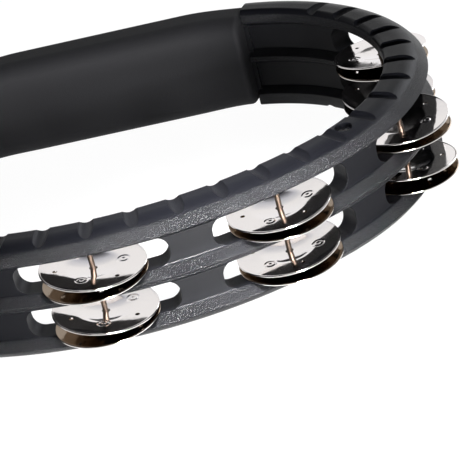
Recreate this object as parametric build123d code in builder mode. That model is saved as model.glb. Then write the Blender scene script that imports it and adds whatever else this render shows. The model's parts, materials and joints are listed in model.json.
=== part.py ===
"""Two-row hand tambourine with a D-shaped outline, in millimetres, +Z up, front towards -Y.

The origin is at the bottom centre. The frame follows a pin line made of tangent arcs, and a place
on it is given by its distance along that line from the middle of the front.
"""
from math import cos, degrees, radians, sin
import os

from build123d import *

os.makedirs("parts", exist_ok=True)

# Outline of the pin line
FRONT_R = 182.0
CORNER_R = 103.5
CORNER_START = 35.0
FRAME_END = 161.5

# Frame section, measured outwards from the pin line and upwards from the joint plane
HALF_H = 27.3
BAND_OUT = 11.3
FACE_OUT = 5.5
FACE_IN = -4.7
INNER_OUT = -8.9
LIP_H = 1.05
DECK_H = 4.0
WINDOW_H = 13.4
CREST_OUT = -1.4
CREST_IN = -6.3
INNER_DROP = 2.6
CHANNEL_OUT = 4.5
CHANNEL_IN = -4.0
CHANNEL_H = 2.0
SEAM_BEVEL = 0.3

# Windows, pins and finger notches
PIN_PITCH = 84.0
STATIONS = 7
WINDOW_R = 33.5
WINDOW_EDGE_R = 5.4
PIN_R = 1.2
PIN_FIT = 0.02
PIN_FOOT = 1.5
PIN_CAP = 4.0
NOTCH_PITCH = 19.5
NOTCH_SHIFT = 1.5
NOTCH_SIDE_COUNT = 15
NOTCH_R = 3.8
NOTCH_DEPTH = 1.9
NOTCH_LENGTH = 22.0
NOTCH_OUT = -3.6

# Pockets cored into the screw posts from the joint plane
CORE_HOLE_X = 5.4
CORE_HOLE_W = 2.4
CORE_HOLE_D = 6.2
CORE_HOLE_H = 21.0

# Grip
CORE_OUT = 6.5
CORE_H = 18.5
CORE_WALL = 2.5
SLEEVE_START = 161.8
SLEEVE_OUT = 10.5
SLEEVE_IN = -18.5
SLEEVE_H = 25.8
SLEEVE_EDGE_R = 9.5
SLEEVE_FIT = 0.05

# Fasteners and mounting bushes
SCREW_R = 1.5
SCREW_HEAD_R = 2.8
SCREW_HEAD_H = 2.0
SCREW_HEAD_ROOM = 0.4
SCREW_REACH = 13.0
SCREW_HEAD_Z = 13.0
SCREW_FIT = 0.05
DRIVER_R = 1.1
DRIVER_DEPTH = 1.2
SIDE_SCREW_AT = 294.0
END_SCREW_ANGLE = 157.6
BUSH_BORE_R = 3.5
BUSH_WALL = 0.9
BUSH_INSET = 3.0
BUSH_FIT = 0.02
BUSH_OUT = -1.8
BUSH_BOSS_R = 6.4
MOUTH_R = 4.0

# Jingles
JINGLE_R = 23.1
JINGLE_T = 0.55
BOWL_R = 11.8
BOWL_RISE = 1.2
BOWL_MID_R = 7.0
BOWL_MID_RISE = 0.32
FLANGE_RISE = 1.0
RIM_ROLL = 0.7
PIN_HOLE_R = 1.8
REST_GAP = 0.2
# Lean of each over jingle, in degrees, left side up, from the first station to the last
OVER_LEAN = {
    "top": (-3.2, 4.4, -5.1, 6.2, -2.6, -3.4, 5.0),
    "bottom": (4.6, -2.9, 3.8, 7.7, -3.1, 4.2, -4.8),
}
LEAN_LIFT = 0.09

# Values worked out from those above
CORNER_X = (FRONT_R - CORNER_R) * sin(radians(CORNER_START))
CORNER_DY = (FRONT_R - CORNER_R) * cos(radians(CORNER_START))
FRONT_ARC = FRONT_R * radians(CORNER_START)
FRONT_REACH = FRONT_R + JINGLE_R
BACK_REACH = CORNER_R - CORNER_DY + SLEEVE_OUT
CENTRE_Y = (FRONT_REACH - BACK_REACH) / 2
CORNER_Y = CENTRE_Y - CORNER_DY
MID = HALF_H
CEILING_H = DECK_H + WINDOW_H
JINGLE_H = JINGLE_T + BOWL_RISE + FLANGE_RISE


def outline_place(distance):
    """Centre x, centre y, radius and outward angle of the pin line at a distance along it."""
    side = 1 if distance >= 0 else -1
    if abs(distance) <= FRONT_ARC:
        return 0.0, CENTRE_Y, FRONT_R, degrees(distance / FRONT_R)
    turned = CORNER_START + degrees((abs(distance) - FRONT_ARC) / CORNER_R)
    return side * CORNER_X, CORNER_Y, CORNER_R, side * turned


def location_at(x, y, radius, angle, outward=0.0, height=0.0):
    """Local X runs along the pin line, local -Y points outwards and local Z stays up."""
    reach = radius + outward
    return Location(
        (x + reach * sin(radians(angle)), y - reach * cos(radians(angle)), height), (0, 0, angle)
    )


def place(distance, outward=0.0, height=0.0):
    return location_at(*outline_place(distance), outward, height)


def end_place(side, height=0.0):
    return location_at(side * CORNER_X, CORNER_Y, CORNER_R, side * END_SCREW_ANGLE, 0.0, height)


def section_plane(x, y, radius, angle):
    """Plane across the frame: local X points outwards from the pin line and local Y is up."""
    outward = (sin(radians(angle)), -cos(radians(angle)), 0)
    origin = (x + radius * outward[0], y + radius * outward[1], MID)
    return Plane(origin=origin, x_dir=outward, z_dir=(-cos(radians(angle)), -sin(radians(angle)), 0))


def vertical_axis(x, y):
    return Axis((x, y, 0), (0, 0, 1))


STATION_AT = [(i - (STATIONS - 1) / 2) * PIN_PITCH for i in range(STATIONS)]
BUSH_AT = (-1.5 * PIN_PITCH, 1.5 * PIN_PITCH)
SCREW_POST_AT = (-2.5 * PIN_PITCH, -PIN_PITCH / 2, PIN_PITCH / 2, 2.5 * PIN_PITCH)
SCREW_AT = SCREW_POST_AT + (-SIDE_SCREW_AT, SIDE_SCREW_AT)
NOTCH_AT = [
    NOTCH_SHIFT + i * NOTCH_PITCH for i in range(-NOTCH_SIDE_COUNT, NOTCH_SIDE_COUNT + 1)
]


def band_section():
    """Upper half of the frame's section: a thin wall between a middle flange and the crest."""
    crest_lip = CEILING_H + DECK_H - LIP_H
    with BuildLine() as outline:
        Polyline(
            (CHANNEL_OUT, CHANNEL_H),
            (CHANNEL_OUT, 0),
            (BAND_OUT - SEAM_BEVEL, 0),
            (BAND_OUT, SEAM_BEVEL),
            (BAND_OUT, LIP_H - 0.3),
            (BAND_OUT - 0.5, LIP_H + 0.2),
            (FACE_OUT + 0.9, DECK_H - 0.4),
            (FACE_OUT, DECK_H + 0.4),
            (FACE_OUT, CEILING_H - 0.4),
            (FACE_OUT + 0.9, CEILING_H + 0.4),
            (BAND_OUT - 0.5, crest_lip - 0.2),
            (BAND_OUT, crest_lip + 0.3),
        )
        TangentArc((CREST_OUT, HALF_H), (BAND_OUT, crest_lip + 0.3), tangent=(1, 0))
        Line((CREST_OUT, HALF_H), (CREST_IN, HALF_H))
        TangentArc((CREST_IN, HALF_H), (INNER_OUT, HALF_H - INNER_DROP), tangent=(-1, 0))
        Polyline(
            (INNER_OUT, HALF_H - INNER_DROP),
            (INNER_OUT, crest_lip),
            (FACE_IN, CEILING_H),
            (FACE_IN, DECK_H),
            (INNER_OUT, LIP_H),
            (INNER_OUT, 0),
            (CHANNEL_IN, 0),
            (CHANNEL_IN, CHANNEL_H),
            (CHANNEL_OUT, CHANNEL_H),
        )
    make_face(outline.edges())


def core_section():
    with BuildLine() as outline:
        Polyline(
            (CORE_OUT, 0),
            (CORE_OUT, CORE_H),
            (-CORE_OUT, CORE_H),
            (-CORE_OUT, 0),
            (CORE_WALL - CORE_OUT, 0),
            (CORE_WALL - CORE_OUT, CORE_H - CORE_WALL),
            (CORE_OUT - CORE_WALL, CORE_H - CORE_WALL),
            (CORE_OUT - CORE_WALL, 0),
            close=True,
        )
    make_face(outline.edges())


def sleeve_section():
    middle = (SLEEVE_OUT + SLEEVE_IN) / 2
    with Locations((middle, 0)):
        RectangleRounded(SLEEVE_OUT - SLEEVE_IN, 2 * SLEEVE_H, SLEEVE_EDGE_R)
    Rectangle(2 * (CORE_OUT + SLEEVE_FIT), 2 * (CORE_H + SLEEVE_FIT), mode=Mode.SUBTRACT)


def sweep_back(section, start):
    """Carry a section from one corner to the other round the back of the outline."""
    for side in (1, -1):
        x = side * CORNER_X
        first = start if side > 0 else 180.0
        last = 180.0 if side > 0 else 360.0 - start
        with BuildSketch(section_plane(x, CORNER_Y, CORNER_R, first)) as profile:
            section()
        revolve(profile.sketch, axis=vertical_axis(x, CORNER_Y), revolution_arc=last - first)
    with BuildSketch(section_plane(CORNER_X, CORNER_Y, CORNER_R, 180.0)) as profile:
        section()
    extrude(profile.sketch, amount=-2 * CORNER_X)


def sweep_front():
    """The full frame section from the end of one corner, round the front, to the other end."""
    sectors = (
        (-CORNER_X, CORNER_Y, CORNER_R, -FRAME_END, -CORNER_START),
        (0.0, CENTRE_Y, FRONT_R, -CORNER_START, CORNER_START),
        (CORNER_X, CORNER_Y, CORNER_R, CORNER_START, FRAME_END),
    )
    for x, y, radius, first, last in sectors:
        with BuildSketch(section_plane(x, y, radius, first)) as profile:
            band_section()
        revolve(profile.sketch, axis=vertical_axis(x, y), revolution_arc=last - first)


# One window: a flat disc round the pin, with rounded edges that widen the posts at top and bottom
with BuildPart() as window_cutter:
    Cylinder(WINDOW_R, WINDOW_H)
    fillet(window_cutter.edges().filter_by(GeomType.CIRCLE), WINDOW_EDGE_R)

# Everything that both frame halves share, drawn as the upper half
with BuildPart() as frame_half:
    sweep_front()
    sweep_back(core_section, FRAME_END - 1.0)
    with Locations(*[place(s, BUSH_OUT, MID) for s in BUSH_AT]):
        Cylinder(BUSH_BOSS_R, HALF_H - BUSH_INSET, align=(Align.CENTER, Align.CENTER, Align.MIN))
    with Locations(*[place(s, 0, MID + DECK_H + WINDOW_H / 2) for s in STATION_AT]):
        add(window_cutter.part, mode=Mode.SUBTRACT)
    with Locations(*[place(s, NOTCH_OUT, 2 * HALF_H + NOTCH_R - NOTCH_DEPTH) for s in NOTCH_AT]):
        Cylinder(NOTCH_R, NOTCH_LENGTH, rotation=(90, 0, 0), mode=Mode.SUBTRACT)
    with Locations(*[place(s, (FACE_OUT + FACE_IN) / 2, MID) for s in SCREW_POST_AT]):
        with Locations((-CORE_HOLE_X, 0, 0), (CORE_HOLE_X, 0, 0)):
            Box(CORE_HOLE_W, CORE_HOLE_D, 2 * CORE_HOLE_H, mode=Mode.SUBTRACT)
    with Locations(*[place(s, BUSH_OUT, MID) for s in BUSH_AT]):
        Cylinder(MOUTH_R, 3 * HALF_H, mode=Mode.SUBTRACT)
        Cylinder(BUSH_BORE_R + BUSH_WALL + BUSH_FIT, 2 * (HALF_H - BUSH_INSET), mode=Mode.SUBTRACT)

SCREW_PLACES = [place(s) for s in SCREW_AT] + [end_place(-1), end_place(1)]

with BuildPart() as upper_frame:
    add(frame_half.part)
    with Locations(*[place(s, 0, MID) for s in STATION_AT]):
        Cylinder(PIN_R + PIN_FIT, 2 * (HALF_H - PIN_CAP + 0.5), mode=Mode.SUBTRACT)
    with Locations(*[p * Location((0, 0, MID)) for p in SCREW_PLACES]):
        Cylinder(SCREW_R + SCREW_FIT, 2 * (SCREW_REACH + 1.0), mode=Mode.SUBTRACT)
upper_frame.part.label = "upper_frame"

with BuildPart() as lower_frame:
    add(mirror(frame_half.part, about=Plane.XY.offset(MID)))
    with Locations(*[place(s, 0, 0) for s in STATION_AT]):
        Cylinder(PIN_R + PIN_FIT, 3 * HALF_H, mode=Mode.SUBTRACT)
    with Locations(*SCREW_PLACES):
        Cylinder(SCREW_R + SCREW_FIT, 3 * HALF_H, mode=Mode.SUBTRACT)
        Cylinder(SCREW_HEAD_R + SCREW_HEAD_ROOM, 2 * SCREW_HEAD_Z, mode=Mode.SUBTRACT)
lower_frame.part.label = "lower_frame"

with BuildPart() as grip_sleeve:
    sweep_back(sleeve_section, SLEEVE_START)
grip_sleeve.part.label = "grip_sleeve"

# Identical screws, driven upwards from the underside
screw_head_z = SCREW_HEAD_Z - SCREW_HEAD_H
with BuildPart() as frame_screws:
    with Locations(*[p * Location((0, 0, screw_head_z)) for p in SCREW_PLACES]):
        Cylinder(SCREW_HEAD_R, SCREW_HEAD_H, align=(Align.CENTER, Align.CENTER, Align.MIN))
        Cylinder(
            SCREW_R, MID + SCREW_REACH - screw_head_z, align=(Align.CENTER, Align.CENTER, Align.MIN)
        )
        Cylinder(
            DRIVER_R, DRIVER_DEPTH, align=(Align.CENTER, Align.CENTER, Align.MIN), mode=Mode.SUBTRACT
        )
frame_screws.part.label = "frame_screws"

pieces = [upper_frame.part, lower_frame.part, grip_sleeve.part, frame_screws.part]

for side, distance in zip(("left", "right"), BUSH_AT):
    with BuildPart() as bush:
        with Locations(place(distance, BUSH_OUT, MID)):
            Cylinder(BUSH_BORE_R + BUSH_WALL, 2 * (HALF_H - BUSH_INSET - BUSH_FIT))
            Cylinder(BUSH_BORE_R, 3 * HALF_H, mode=Mode.SUBTRACT)
    bush.part.label = f"mount_bush_{side}"
    pieces.append(bush.part)

for number, distance in enumerate(STATION_AT, start=1):
    with BuildPart() as pin:
        with Locations(place(distance, 0, PIN_FOOT)):
            Cylinder(
                PIN_R,
                2 * HALF_H - PIN_CAP - PIN_FOOT,
                align=(Align.CENTER, Align.CENTER, Align.MIN),
            )
    pin.part.label = f"jingle_pin_{number}"
    pieces.append(pin.part)

# One jingle as a shallow dish on a bowl, its pin hole at the origin and its rim upwards
with BuildPart() as jingle:
    flange_z = JINGLE_T + BOWL_RISE
    top_edge = (JINGLE_R - RIM_ROLL, JINGLE_H)
    foot_edge = (JINGLE_R - RIM_ROLL, JINGLE_H - 0.8)
    with BuildSketch(Plane.XZ):
        with BuildLine():
            ThreePointArc(
                (PIN_HOLE_R, JINGLE_T), (BOWL_MID_R, JINGLE_T + BOWL_MID_RISE), (BOWL_R, flange_z)
            )
            Line((BOWL_R, flange_z), top_edge)
            ThreePointArc(top_edge, (JINGLE_R, JINGLE_H - 0.45), foot_edge)
            Line(foot_edge, (BOWL_R + 0.3, BOWL_RISE))
            ThreePointArc(
                (BOWL_R + 0.3, BOWL_RISE), (BOWL_MID_R + 0.3, BOWL_MID_RISE), (PIN_HOLE_R, 0)
            )
            Line((PIN_HOLE_R, 0), (PIN_HOLE_R, JINGLE_T))
        make_face()
    revolve(axis=Axis.Z)

for row, deck in (("top", MID + DECK_H), ("bottom", MID - CEILING_H)):
    for number, distance in enumerate(STATION_AT, start=1):
        lean = OVER_LEAN[row][number - 1]
        under_top = deck + REST_GAP + JINGLE_H
        over_foot = under_top + REST_GAP + LEAN_LIFT * abs(lean)
        with BuildPart() as under:
            with Locations(place(distance, 0, under_top) * Location((0, 0, 0), (180, 0, 0))):
                add(jingle.part)
        under.part.label = f"jingle_{row}_{number}_under"
        pieces.append(under.part)
        with BuildPart() as over:
            with Locations(place(distance, 0, over_foot) * Location((0, 0, 0), (0, lean, 0))):
                add(jingle.part)
        over.part.label = f"jingle_{row}_{number}_over"
        pieces.append(over.part)

for piece in pieces:
    export_step(piece, f"parts/{piece.label}.step")
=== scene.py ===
"""Looks of the two-row tambourine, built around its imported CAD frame. Metres, +Z up, front towards -Y."""
import json
import math

import bpy
import numpy as np
from mathutils import Matrix, Vector

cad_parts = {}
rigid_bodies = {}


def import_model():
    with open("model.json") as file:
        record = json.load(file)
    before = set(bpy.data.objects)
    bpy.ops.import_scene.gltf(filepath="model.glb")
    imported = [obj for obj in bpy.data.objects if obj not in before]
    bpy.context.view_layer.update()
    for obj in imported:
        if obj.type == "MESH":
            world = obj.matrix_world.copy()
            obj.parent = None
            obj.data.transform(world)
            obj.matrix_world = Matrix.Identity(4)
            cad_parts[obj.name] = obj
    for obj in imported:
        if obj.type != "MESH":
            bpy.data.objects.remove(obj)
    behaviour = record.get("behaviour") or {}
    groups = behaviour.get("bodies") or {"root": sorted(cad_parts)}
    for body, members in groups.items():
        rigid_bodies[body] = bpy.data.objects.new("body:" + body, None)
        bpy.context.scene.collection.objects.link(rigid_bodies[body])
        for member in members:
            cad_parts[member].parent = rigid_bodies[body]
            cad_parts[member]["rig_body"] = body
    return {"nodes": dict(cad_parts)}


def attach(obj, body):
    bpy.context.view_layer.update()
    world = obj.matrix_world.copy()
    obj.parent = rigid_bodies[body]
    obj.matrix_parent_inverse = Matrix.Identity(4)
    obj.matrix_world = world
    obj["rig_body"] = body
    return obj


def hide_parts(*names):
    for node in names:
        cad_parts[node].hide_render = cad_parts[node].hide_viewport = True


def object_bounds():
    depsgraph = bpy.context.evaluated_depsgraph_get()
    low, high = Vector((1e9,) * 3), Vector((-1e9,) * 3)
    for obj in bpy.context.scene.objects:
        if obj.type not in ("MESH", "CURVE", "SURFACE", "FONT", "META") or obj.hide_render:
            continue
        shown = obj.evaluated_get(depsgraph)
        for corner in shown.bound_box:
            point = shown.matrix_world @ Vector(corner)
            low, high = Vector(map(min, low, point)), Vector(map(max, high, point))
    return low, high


MM = 0.001

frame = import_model()
cad_low, cad_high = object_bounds()

# Height of the plane between the two halves of the frame
MID = (cad_low[2] + cad_high[2]) / 2


# ---------------------------------------------------------------- camera, floor and light


CAMERA_AT = Vector((113.1, -763.3, 382.0)) * MM
YAW, PITCH, ROLL = (math.radians(angle) for angle in (-4.63, 27.38, 14.17))


def add_camera():
    """Three-quarter view of the front from above, with the camera rolled."""
    data = bpy.data.cameras.new("view")
    data.lens = 140.0
    data.sensor_width = 36.0
    data.clip_start = 0.01
    camera = bpy.data.objects.new("view", data)
    bpy.context.collection.objects.link(camera)
    turn = Matrix.Rotation(-YAW, 4, "Z") @ Matrix.Rotation(math.pi / 2 - PITCH, 4, "X")
    turn = turn @ Matrix.Rotation(-ROLL, 4, "Z")
    camera.matrix_world = Matrix.Translation(CAMERA_AT) @ turn
    bpy.context.scene.camera = camera


def add_area(name, at, aim, size, power, colour=(1, 1, 1), spread=180):
    """Area light turned towards a point, in metres and watts; a small spread makes a narrow beam."""
    data = bpy.data.lights.new(name, "AREA")
    data.shape = "RECTANGLE"
    data.size, data.size_y = size
    data.energy = power
    data.color = colour
    data.spread = math.radians(spread)
    light = bpy.data.objects.new(name, data)
    light.location = at
    light.rotation_euler = (Vector(aim) - Vector(at)).to_track_quat("-Z", "Y").to_euler()
    bpy.context.collection.objects.link(light)


def link(tree, out, into):
    tree.links.new(out, into)


def add_node(tree, kind, **settings):
    node = tree.nodes.new(kind)
    for name, value in settings.items():
        setattr(node, name, value)
    return node


def add_world():
    """A studio that is white low down all round and dark overhead, with a brighter wall at the back."""
    world = bpy.data.worlds.new("studio")
    bpy.context.scene.world = world
    world.use_nodes = True
    tree = world.node_tree
    background = tree.nodes["Background"]
    place = add_node(tree, "ShaderNodeTexCoord")
    split = add_node(tree, "ShaderNodeSeparateXYZ")
    ramp = add_node(tree, "ShaderNodeValToRGB")
    link(tree, place.outputs["Generated"], split.inputs[0])
    link(tree, split.outputs["Z"], ramp.inputs[0])
    link(tree, ramp.outputs[0], background.inputs["Color"])
    stops = ramp.color_ramp.elements
    stops[0].position, stops[0].color = 0.0, (0.9, 0.9, 0.92, 1)
    stops[1].position, stops[1].color = 0.84, (0.006, 0.006, 0.008, 1)
    middle = ((0.5, (1.0, 1.0, 1.0, 1)), (0.7, (0.66, 0.68, 0.74, 1)), (0.8, (0.05, 0.05, 0.06, 1)))
    for at, colour in middle:
        stops.new(at).color = colour
    side = maths(tree, "MULTIPLY_ADD", split.outputs["Y"], 0.62, 0.5)
    side = maths(tree, "MULTIPLY_ADD", split.outputs["X"], 0.1, side)
    side = maths(tree, "MAXIMUM", side, 0.03)
    link(tree, side, background.inputs["Strength"])


def add_floor():
    """White floor that glows by itself and sends little light back up onto the plastic."""
    mesh = bpy.data.meshes.new("floor")
    half, level = 1.5, cad_low[2] - 0.2 * MM
    mesh.from_pydata(
        [(-half, -half, level), (half, -half, level), (half, half, level), (-half, half, level)],
        [],
        [(0, 1, 2, 3)],
    )
    floor = bpy.data.objects.new("floor", mesh)
    bpy.context.collection.objects.link(floor)
    material = bpy.data.materials.new("floor_white")
    material.use_nodes = True
    shader = material.node_tree.nodes["Principled BSDF"]
    shader.inputs["Base Color"].default_value = (0.06, 0.06, 0.06, 1)
    shader.inputs["Roughness"].default_value = 0.8
    shader.inputs["Emission Color"].default_value = (1, 1, 1, 1)
    shader.inputs["Emission Strength"].default_value = 0.96
    mesh.materials.append(material)


# ---------------------------------------------------------------- materials


def new_material(name, colour, roughness, metallic=0.0):
    material = bpy.data.materials.new(name)
    material.use_nodes = True
    shader = material.node_tree.nodes["Principled BSDF"]
    shader.inputs["Base Color"].default_value = (*colour, 1)
    shader.inputs["Roughness"].default_value = roughness
    shader.inputs["Metallic"].default_value = metallic
    return material, material.node_tree, shader


def noise(tree, scale, detail=2.0, roughness=0.5):
    node = add_node(tree, "ShaderNodeTexNoise")
    node.inputs["Scale"].default_value = scale
    node.inputs["Detail"].default_value = detail
    node.inputs["Roughness"].default_value = roughness
    place = add_node(tree, "ShaderNodeTexCoord")
    link(tree, place.outputs["Object"], node.inputs["Vector"])
    return node.outputs["Fac"]


def maths(tree, operation, a, b=None, c=None):
    node = add_node(tree, "ShaderNodeMath", operation=operation)
    for socket, value in zip(node.inputs, (a, b, c)):
        if value is None:
            continue
        if isinstance(value, (int, float)):
            socket.default_value = value
        else:
            link(tree, value, socket)
    return node.outputs[0]


def ranged(tree, value, from_low, from_high, to_low, to_high):
    node = add_node(tree, "ShaderNodeMapRange", interpolation_type="SMOOTHSTEP")
    link(tree, value, node.inputs["Value"])
    for socket, number in zip(node.inputs[1:5], (from_low, from_high, to_low, to_high)):
        socket.default_value = number
    return node.outputs["Result"]


def bumped(tree, shader, height, distance, strength=1.0):
    node = add_node(tree, "ShaderNodeBump")
    node.inputs["Strength"].default_value = strength
    node.inputs["Distance"].default_value = distance
    link(tree, height, node.inputs["Height"])
    link(tree, node.outputs["Normal"], shader.inputs["Normal"])
    return node


# Heights above or below the middle plane, in mm, where one zone of the plastic blends into the next
CREST_FOOT = (24.2, 25.6)
SLOPE_FOOT = (17.2, 17.9)
POST_TOP = (16.8, 17.5)
FLANGE_EDGE = (3.7, 4.1)
POST_FOOT = (3.9, 4.6)


def zone(tree, height, span, below, above):
    """Blend from one value to another as the height goes through a span given in mm."""
    return ranged(tree, height, span[0] * MM, span[1] * MM, below, above)


def moulded_plastic():
    """Black moulded plastic: coarse grain on the slopes, fine on the posts, smooth on the crests."""
    material, tree, shader = new_material("moulded_plastic", (0.0022, 0.0023, 0.0031), 0.4)
    place = add_node(tree, "ShaderNodeTexCoord")
    split = add_node(tree, "ShaderNodeSeparateXYZ")
    link(tree, place.outputs["Object"], split.inputs[0])
    height = maths(tree, "ABSOLUTE", maths(tree, "SUBTRACT", split.outputs["Z"], MID))
    below_crest = zone(tree, height, CREST_FOOT, 1.0, 0.0)
    above_post = zone(tree, height, SLOPE_FOOT, 0.0, 1.0)
    middle = zone(tree, height, FLANGE_EDGE, 1.0, 0.0)
    coarse = maths(tree, "MAXIMUM", maths(tree, "MULTIPLY", below_crest, above_post), middle)
    grain = noise(tree, 3000, 0.0)
    fine = noise(tree, 4200, 1.0)
    depth = maths(tree, "MULTIPLY_ADD", coarse, 0.95, 0.05)
    relief = maths(tree, "MULTIPLY", grain, depth)
    relief = maths(tree, "MULTIPLY_ADD", fine, 0.10, relief)
    bump = bumped(tree, shader, relief, 0.42 * MM)
    soften = add_node(tree, "ShaderNodeBevel", samples=4)
    soften.inputs["Radius"].default_value = 0.5 * MM
    link(tree, soften.outputs["Normal"], bump.inputs["Normal"])
    patches = ranged(tree, noise(tree, 60, 3.0), 0.3, 0.7, -0.03, 0.04)
    post = zone(tree, height, POST_FOOT, 0.0, 1.0)
    post = maths(tree, "MULTIPLY", post, zone(tree, height, POST_TOP, 1.0, 0.0))
    shine = maths(tree, "MULTIPLY_ADD", coarse, 0.12, 0.05)
    shine = maths(tree, "MULTIPLY_ADD", post, 0.07, shine)
    link(tree, shine, shader.inputs["Specular IOR Level"])
    rough = maths(tree, "MULTIPLY_ADD", post, 0.17, 0.31)
    rough = maths(tree, "MULTIPLY_ADD", coarse, 0.02, rough)
    rough = maths(tree, "ADD", rough, patches)
    link(tree, rough, shader.inputs["Roughness"])
    return material


def soft_rubber():
    material, tree, shader = new_material("soft_rubber", (0.008, 0.008, 0.009), 0.7)
    shader.inputs["Specular IOR Level"].default_value = 0.12
    relief = maths(tree, "MULTIPLY_ADD", noise(tree, 900, 3.0), 0.6, noise(tree, 2600, 1.0))
    bumped(tree, shader, relief, 0.12 * MM)
    return material


def polished_nickel():
    material, tree, shader = new_material("polished_nickel", (0.78, 0.745, 0.73), 0.07, 1.0)
    bumped(tree, shader, noise(tree, 90, 2.0), 0.12 * MM)
    smears = ranged(tree, noise(tree, 260, 4.0, 0.6), 0.35, 0.75, 0.045, 0.13)
    link(tree, smears, shader.inputs["Roughness"])
    return material


def nickel_back_painted_shade():
    """The backs of the jingles, duller and browner than their faces: painted shade, a darker colour
    standing in for the dark surroundings that the backs reflect.
    """
    material, tree, shader = new_material("nickel_back_painted_shade", (0.25, 0.195, 0.145), 0.09, 1.0)
    bumped(tree, shader, noise(tree, 90, 2.0), 0.1 * MM)
    return material


def plain_steel(name, colour, low, high):
    """Steel whose roughness wanders between two values."""
    material, tree, shader = new_material(name, colour, low, 1.0)
    rough = ranged(tree, noise(tree, 1500, 3.0), 0.3, 0.7, low, high)
    link(tree, rough, shader.inputs["Roughness"])
    bumped(tree, shader, noise(tree, 2500, 2.0), 0.05 * MM)
    return material


# ---------------------------------------------------------------- jingles

# Sizes in mm
JINGLE_R = 23.1
JINGLE_T = 0.55
PIN_HOLE_R = 1.8
BOWL_R, KNEE_R, FLANGE_R = 10.5, 13.0, 22.3
BOWL_RISE = 1.3
RIM_STEPS = 288
PUNCHES = 3
PUNCH_SIDES = 20
HOLE_AT = 16.2
HOLE_R = 1.05
MARK_AT = 13.2
MARK_DEPTH = 0.26
# Spin of each jingle about its pin, in degrees, from the first station to the last
SPIN = {
    "top_over": (15, 80, 52, 71, 71, 33, 10),
    "top_under": (40, 5, 100, 20, 110, 75, 60),
    "bottom_over": (70, 25, 90, 88, 49, 118, 36),
    "bottom_under": (0, 55, 30, 115, 85, 10, 95),
}


def arc_points(a, b, c, count):
    """Points on the circle through three points, from the first to the last."""
    a, b, c = (np.array(p, float) for p in (a, b, c))
    m = 2 * np.array([b - a, c - a])
    centre = np.linalg.solve(m, [b @ b - a @ a, c @ c - a @ a])
    start = math.atan2(*(a - centre)[::-1])
    via = (math.atan2(*(b - centre)[::-1]) - start) % math.tau
    end = (math.atan2(*(c - centre)[::-1]) - start) % math.tau
    if via > end:
        end -= math.tau
    radius = np.linalg.norm(a - centre)
    angles = start + np.linspace(0, end, count)
    return [tuple(centre + radius * np.array([math.cos(t), math.sin(t)])) for t in angles]


def dish_height(r):
    """Height of a jingle's upper face: a bowl that turns over into a nearly flat flange."""
    steep, flat = 0.2476, 0.045
    if r < BOWL_R:
        return JINGLE_T + BOWL_RISE * (r / BOWL_R) ** 2
    height = JINGLE_T + BOWL_RISE
    part = min(r, KNEE_R) - BOWL_R
    height += steep * part - (steep - flat) * part * part / (2 * (KNEE_R - BOWL_R))
    return height + flat * max(0.0, r - KNEE_R)


def jingle_profile():
    """Section of a jingle from its pin hole, over the top and round the rim, back to the hole."""
    points = [(r, dish_height(r)) for r in np.linspace(PIN_HOLE_R, BOWL_R, 12)]
    points += [(r, dish_height(r)) for r in np.linspace(BOWL_R, FLANGE_R, 40)[1:]]
    top = dish_height(FLANGE_R)
    points += arc_points((22.5, top + 0.06), (JINGLE_R, top - 0.3), (22.5, top - 0.62), 9)
    points += [(r, dish_height(r) - JINGLE_T) for r in np.linspace(22.2, PIN_HOLE_R, 26)]
    return points


def stamped(x, y):
    """Depth of the stamped marks: three plain rings with a dot, halfway between the punched holes."""
    depth = 0.0
    for k in range(PUNCHES):
        turn = math.radians(60 + 120 * k)
        along = x * math.cos(turn) + y * math.sin(turn) - MARK_AT
        across = -x * math.sin(turn) + y * math.cos(turn)
        away = math.hypot(across, along)
        for ring, width in ((2.3, 0.5), (0.0, 0.9)):
            depth = max(depth, MARK_DEPTH * max(0.0, 1 - ((away - ring) / width) ** 2))
    return depth


def added(name, verts, faces):
    """New object in the scene with a mesh of its own."""
    mesh = bpy.data.meshes.new(name)
    mesh.from_pydata(verts, [], faces)
    piece = bpy.data.objects.new(name, mesh)
    bpy.context.collection.objects.link(piece)
    return piece


def add_blank():
    """A jingle with its pin hole and stamped marks, before the small holes are punched."""
    profile = jingle_profile()
    verts, faces = [], []
    n = len(profile)
    for i in range(RIM_STEPS):
        t = math.tau * i / RIM_STEPS
        for r, z in profile:
            x, y = r * math.cos(t), r * math.sin(t)
            verts.append((x * MM, y * MM, (z - stamped(x, y)) * MM))
    for i in range(RIM_STEPS):
        j = (i + 1) % RIM_STEPS
        for k in range(n):
            m = (k + 1) % n
            faces.append((i * n + k, j * n + k, j * n + m, i * n + m))
    blank = added("jingle_blank", verts, faces)
    blank.data.validate()
    return blank


def add_punches():
    """Round bars through the flange, one for each small hole."""
    verts, faces = [], []
    n = PUNCH_SIDES
    for k in range(PUNCHES):
        cx, cy = (HOLE_AT * f(math.radians(120 * k)) for f in (math.cos, math.sin))
        first = len(verts)
        for z in (-1.0, 5.0):
            for i in range(n):
                t = math.tau * i / n
                x, y = cx + HOLE_R * math.cos(t), cy + HOLE_R * math.sin(t)
                verts.append((x * MM, y * MM, z * MM))
        for i in range(n):
            j = (i + 1) % n
            faces.append((first + i, first + j, first + n + j, first + n + i))
        faces.append(tuple(first + i for i in reversed(range(n))))
        faces.append(tuple(first + n + i for i in range(n)))
    return added("punches", verts, faces)


def jingle_mesh():
    """The finished jingle, its pin hole at the origin and its rim up."""
    body, punch = add_blank(), add_punches()
    cut = body.modifiers.new("punch", "BOOLEAN")
    cut.operation, cut.solver, cut.object = "DIFFERENCE", "EXACT", punch
    done = bpy.data.meshes.new_from_object(body.evaluated_get(bpy.context.evaluated_depsgraph_get()))
    bpy.data.objects.remove(body)
    bpy.data.objects.remove(punch)
    for face in done.polygons:
        face.use_smooth = True
    done.set_sharp_from_angle(angle=math.radians(35))
    return done


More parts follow.
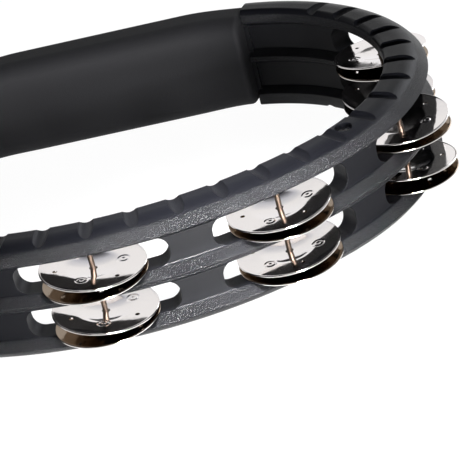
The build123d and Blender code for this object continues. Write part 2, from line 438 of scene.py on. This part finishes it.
def disc_place(node):
    """Matrix of a jingle's CAD solid: its pin hole at the foot of the bowl, its rim along +Z."""
    points = np.array([v.co for v in node.data.vertices])
    middle = (points.min(axis=0) + points.max(axis=0)) / 2
    axis = np.linalg.svd(points - points.mean(axis=0), full_matrices=False)[2][2]
    flat = (points - middle) @ axis
    out = np.linalg.norm(points - middle - np.outer(flat, axis), axis=1)
    if flat[out > 20 * MM].mean() < flat[out < 5 * MM].mean():
        axis = -axis
    flat = (points - middle) @ axis
    foot = middle + axis * flat.min()
    turn = Vector((0, 0, 1)).rotation_difference(Vector(axis)).to_matrix().to_4x4()
    return Matrix.Translation(foot) @ turn


# ---------------------------------------------------------------- grip

FRONT_R = 182.0
CORNER_R = 103.5
CORNER_START = math.radians(35)
PIN_CENTRE_Y = 77.702
# Where the sleeve ends, as a turn from the front round the corner arc
GRIP_START = math.radians(161.85)
GRIP_STEPS = 120
GRIP_SIDES = 96
ROLL_R = 3.0
SWELL_RUN = 34.0


def back_corner():
    """Centre of the right-hand corner arc of the pin line, in mm."""
    offset = FRONT_R - CORNER_R
    return offset * math.sin(CORNER_START), PIN_CENTRE_Y - offset * math.cos(CORNER_START)


def back_line(distance):
    """Point and outward direction on the pin line, by distance from the middle of the back, in mm."""
    corner_x, corner_y = back_corner()
    side = 1 if distance >= 0 else -1
    if abs(distance) <= corner_x:
        return distance, corner_y + CORNER_R, 0.0, 1.0
    turn = (abs(distance) - corner_x) / CORNER_R
    out_x, out_y = side * math.sin(turn), math.cos(turn)
    return side * corner_x + CORNER_R * out_x, corner_y + CORNER_R * out_y, out_x, out_y


def rounded_box(low, high, half, radius, count):
    """Points round a rectangle with rounded corners, the corners sharing out most of the points."""
    points = []
    quarter = count // 4
    centres = ((high - radius, half - radius), (low + radius, half - radius))
    centres += ((low + radius, radius - half), (high - radius, radius - half))
    for corner, (x, z) in enumerate(centres):
        for k in range(quarter):
            t = math.pi / 2 * (corner + k / (quarter - 1))
            points.append((x + radius * math.cos(t), z + radius * math.sin(t)))
    return points


def grip_mesh():
    """A soft sleeve that swells towards its middle and rolls over at its ends, round a square tunnel."""
    reach = back_corner()[0] + CORNER_R * (math.pi - GRIP_START)
    turns = [math.pi / 2 * k / 8 for k in range(9)]
    end = [(reach - ROLL_R * (1 - math.cos(t)), ROLL_R * (1 - math.sin(t))) for t in turns]
    middle = reach - ROLL_R
    path = end + [(middle * (1 - 2 * k / GRIP_STEPS), 0.0) for k in range(1, GRIP_STEPS)]
    path += [(-d, pull) for d, pull in reversed(end)]
    verts, faces = [], []
    for d, pull in path:
        x, y, out_x, out_y = back_line(d)
        swell = min(1.0, (reach - abs(d)) / SWELL_RUN)
        swell = swell * swell * (3 - 2 * swell)
        low, high = -17.6 - 0.8 * swell + pull, 9.7 + 0.7 * swell - pull
        half = 24.9 + 0.8 * swell - pull
        shape = rounded_box(low, high, half, 9.5, GRIP_SIDES)
        tunnel = rounded_box(-6.55, 6.55, 18.55, 0.1, GRIP_SIDES)
        for out, up in shape + tunnel:
            verts.append(((x + out * out_x) * MM, (y + out * out_y) * MM, MID + up * MM))
    n, row = GRIP_SIDES, 2 * GRIP_SIDES
    for i in range(len(path) - 1):
        for k in range(n):
            m = (k + 1) % n
            a, b = i * row, (i + 1) * row
            faces.append((a + k, b + k, b + m, a + m))
            faces.append((a + n + m, b + n + m, b + n + k, a + n + k))
    for i, flip in ((0, False), (len(path) - 1, True)):
        for k in range(n):
            m = (k + 1) % n
            ring = (i * row + k, i * row + m, i * row + n + m, i * row + n + k)
            faces.append(tuple(reversed(ring)) if flip else ring)
    mesh = bpy.data.meshes.new("grip")
    mesh.from_pydata(verts, [], faces)
    mesh.validate()
    for face in mesh.polygons:
        face.use_smooth = True
    mesh.set_sharp_from_angle(angle=math.radians(50))
    return mesh


# ---------------------------------------------------------------- scene


def add_jingle(name, node, shape):
    """Detailed jingle in the place of its CAD solid, turned about its pin."""
    row, number, layer = name.split("_")[1:]
    spin = math.radians(SPIN[f"{row}_{layer}"][int(number) - 1])
    piece = bpy.data.objects.new(name + "_disc", shape.copy())
    bpy.context.collection.objects.link(piece)
    place = disc_place(node) @ Matrix.Rotation(spin, 4, "Z")
    # The turn goes into the mesh, so that the piece's own box is its true box in the row frame.
    piece.data.transform(place.to_3x3().to_4x4())
    piece.matrix_world = Matrix.Translation(place.translation)
    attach(piece, node["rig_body"])
    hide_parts(name)


add_camera()
add_world()
add_floor()
add_area("key", (0.13, -0.33, 0.56), (0.06, -0.11, 0.03), (0.07, 0.07), 0.7, spread=21)
add_area("fill", (-0.1, -0.4, 0.9), (0.0, -0.02, 0.03), (0.3, 0.3), 0.6)
add_area("back", (0.75, 0.85, 0.55), (0.0, -0.05, 0.03), (0.5, 0.4), 4, (0.93, 0.95, 1.0))
add_area("front", (0.24, -0.55, 0.10), (0.05, -0.10, 0.03), (0.14, 0.08), 1.5, spread=50)

plastic = moulded_plastic()
rubber = soft_rubber()
nickel = polished_nickel()
steel = plain_steel("dark_steel", (0.13, 0.095, 0.075), 0.3, 0.5)
zinc = plain_steel("zinc_steel", (0.8, 0.8, 0.78), 0.2, 0.35)

finish = {
    "upper_frame": plastic,
    "lower_frame": plastic,
    "grip_sleeve": rubber,
    "frame_screws": zinc,
    "mount_bush_left": zinc,
    "mount_bush_right": zinc,
}
shape = jingle_mesh()
shape.materials.append(nickel)
# The second material is painted shade: the faces that point downwards, the jingle backs, get a darker and
# browner nickel than the faces.
shape.materials.append(nickel_back_painted_shade())
for face in shape.polygons:
    face.material_index = int(face.normal.z < -0.3)
for name, node in frame["nodes"].items():
    if name.startswith("jingle_pin"):
        finish[name] = steel
    elif name.startswith("jingle_"):
        add_jingle(name, node, shape)
grip = bpy.data.objects.new("grip_sleeve_soft", grip_mesh())
bpy.context.collection.objects.link(grip)
grip.data.materials.append(rubber)
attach(grip, frame["nodes"]["grip_sleeve"]["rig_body"])
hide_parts("grip_sleeve")
for name, material in finish.items():
    node = frame["nodes"][name]
    if not node.material_slots:
        node.data.materials.append(material)
    for material_slot in node.material_slots:
        material_slot.material = material

bpy.context.scene.view_settings.view_transform = "Standard"
